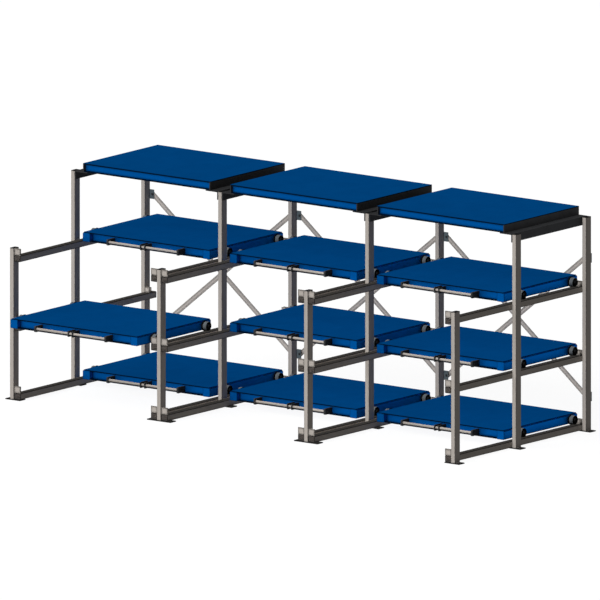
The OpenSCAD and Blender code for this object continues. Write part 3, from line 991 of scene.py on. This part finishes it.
def makeTrayWelds():
    channelX = rack["trayWidth"] / 2 - rack["trayTube"] - trayWelds["channelIn"]
    bracket, cheek = handleSizes["barLength"] / 2, handleSizes["cheekGap"] / 2
    bracketPlaces = [bracket, bracket + handleSizes["plate"], cheek, cheek + handleSizes["cheek"]]
    pitch = rack["trayDepth"] / trayWelds["deckCount"]
    moves = []
    for side in (-1, 1):
        for y in (trayWelds["channelY"], rack["trayDepth"] - trayWelds["channelY"]):
            moves.append(beadAt(trayWelds["channel"], (side * channelX, y, wheelSizes["height"]), "Z"))
        for x in bracketPlaces:
            place = (side * x, trayWelds["bracketY"], handleSizes["height"])
            moves.append(beadAt(trayWelds["bracket"], place, "Z"))
        for k in range(trayWelds["deckCount"]):
            place = (side * trayWelds["deckX"], pitch * (k + 0.5), trayWelds["deckHeight"])
            moves.append(beadAt(trayWelds["deck"], place, "Y"))
    model = placeCopies(makeBead(trayPaint), moves, "trayWelds")
    for name, x, front, z in trayPlaces():
        welds = joinAll([copyAt(model, shift(x, front, z))], "trayWelds_" + name)
        smoothByAngle(welds, beadSizes["smooth"])
        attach(welds, name + "_tray")
    bpy.data.objects.remove(model)


makeRackWelds()
makeTrayWelds()
print("welds made")

# floor, world, lamps and camera

studio = {
    "floor": 120.0,
    "floorDrop": 0.001,
    "floorTone": 0.97,
    "floorSeen": 0.55,
    "bounce": 0.18,
    "sky": 0.085,
    "lamps": [  # name, azimuth, elevation, level, softness, casts a shadow
        ("keyLamp", -25, 35, 0.24, 40, True),
        ("frontFill", -35, 40, 1.0, 10, False),
        ("backFill", -145, 25, 0.5, 10, False),
        ("sideFill", 128, 12, 0.035, 10, False),
    ],
    "lampAway": 9,
    "viewAzimuth": 37.51,
    "viewElevation": 10.917,
    "viewWidth": 5.988,
    "viewCentre": (-0.136, 0.1686, 1.1288),
    "viewAway": 14,
    "viewReach": 200,
}


def rayWeight(tree):
    # 1 for what the camera sees, straight or through a reflection
    path = tree.nodes.new("ShaderNodeLightPath").outputs
    seen = calc(tree, "MAXIMUM", path["Is Camera Ray"], path["Is Glossy Ray"])
    return calc(tree, "MAXIMUM", seen, path["Is Transmission Ray"])


def greyMix(tree, fac, usual, seen):
    mix = tree.nodes.new("ShaderNodeMix")
    mix.data_type = "RGBA"
    mix.inputs[6].default_value = (usual, usual, usual, 1)
    mix.inputs[7].default_value = (seen, seen, seen, 1)
    tree.links.new(fac, mix.inputs["Factor"])
    return mix.outputs[2]


def floorFinish():
    # pale and partly glowing where it is seen, dull where it throws light back
    mat = bpy.data.materials.new("paleFloor")
    mat.use_nodes = True
    tree = mat.node_tree
    tree.nodes.clear()
    out = tree.nodes.new("ShaderNodeOutputMaterial")
    matt = tree.nodes.new("ShaderNodeBsdfDiffuse")
    glow = tree.nodes.new("ShaderNodeEmission")
    mix = tree.nodes.new("ShaderNodeMixShader")
    seen = rayWeight(tree)
    tone = greyMix(tree, seen, studio["bounce"], studio["floorTone"])
    tree.links.new(tone, matt.inputs["Color"])
    tree.links.new(calc(tree, "MULTIPLY", seen, studio["floorSeen"]), mix.inputs["Fac"])
    tree.links.new(matt.outputs[0], mix.inputs[1])
    tree.links.new(glow.outputs[0], mix.inputs[2])
    tree.links.new(mix.outputs[0], out.inputs["Surface"])
    return mat


def towards(azimuth, elevation):
    a, e = math.radians(azimuth), math.radians(elevation)
    return Vector((math.sin(a) * math.cos(e), -math.cos(a) * math.cos(e), math.sin(e)))


freshStart()
bpy.ops.mesh.primitive_plane_add(size=studio["floor"], location=(0, 0, -studio["floorDrop"]))
floor = bpy.context.object
floor.name = "floor"
floor.data.materials.append(floorFinish())

world = bpy.data.worlds.new("studioWorld")
world.use_nodes = True
scene.world = world
worldTree = world.node_tree
skyTone = greyMix(worldTree, rayWeight(worldTree), studio["sky"], 1.0)
worldTree.links.new(skyTone, worldTree.nodes["Background"].inputs["Color"])

for name, azimuth, elevation, level, softness, casts in studio["lamps"]:
    away = towards(azimuth, elevation)
    bpy.ops.object.light_add(type="SUN", location=away * studio["lampAway"])
    lamp = bpy.context.object
    lamp.name = name
    lamp.rotation_euler = (-away).to_track_quat("-Z", "Y").to_euler()
    lamp.data.energy = math.pi * level
    lamp.data.angle = math.radians(softness)
    lamp.data.use_shadow = casts

away = towards(studio["viewAzimuth"], studio["viewElevation"])
bpy.ops.object.camera_add(location=Vector(studio["viewCentre"]) + away * studio["viewAway"])
camera = bpy.context.object
camera.name = "photoCamera"
camera.rotation_euler = (-away).to_track_quat("-Z", "Y").to_euler()
camera.data.type = "ORTHO"
camera.data.ortho_scale = studio["viewWidth"]
camera.data.clip_end = studio["viewReach"]
scene.camera = camera
scene.view_settings.view_transform = "Standard"
print("studio ready")
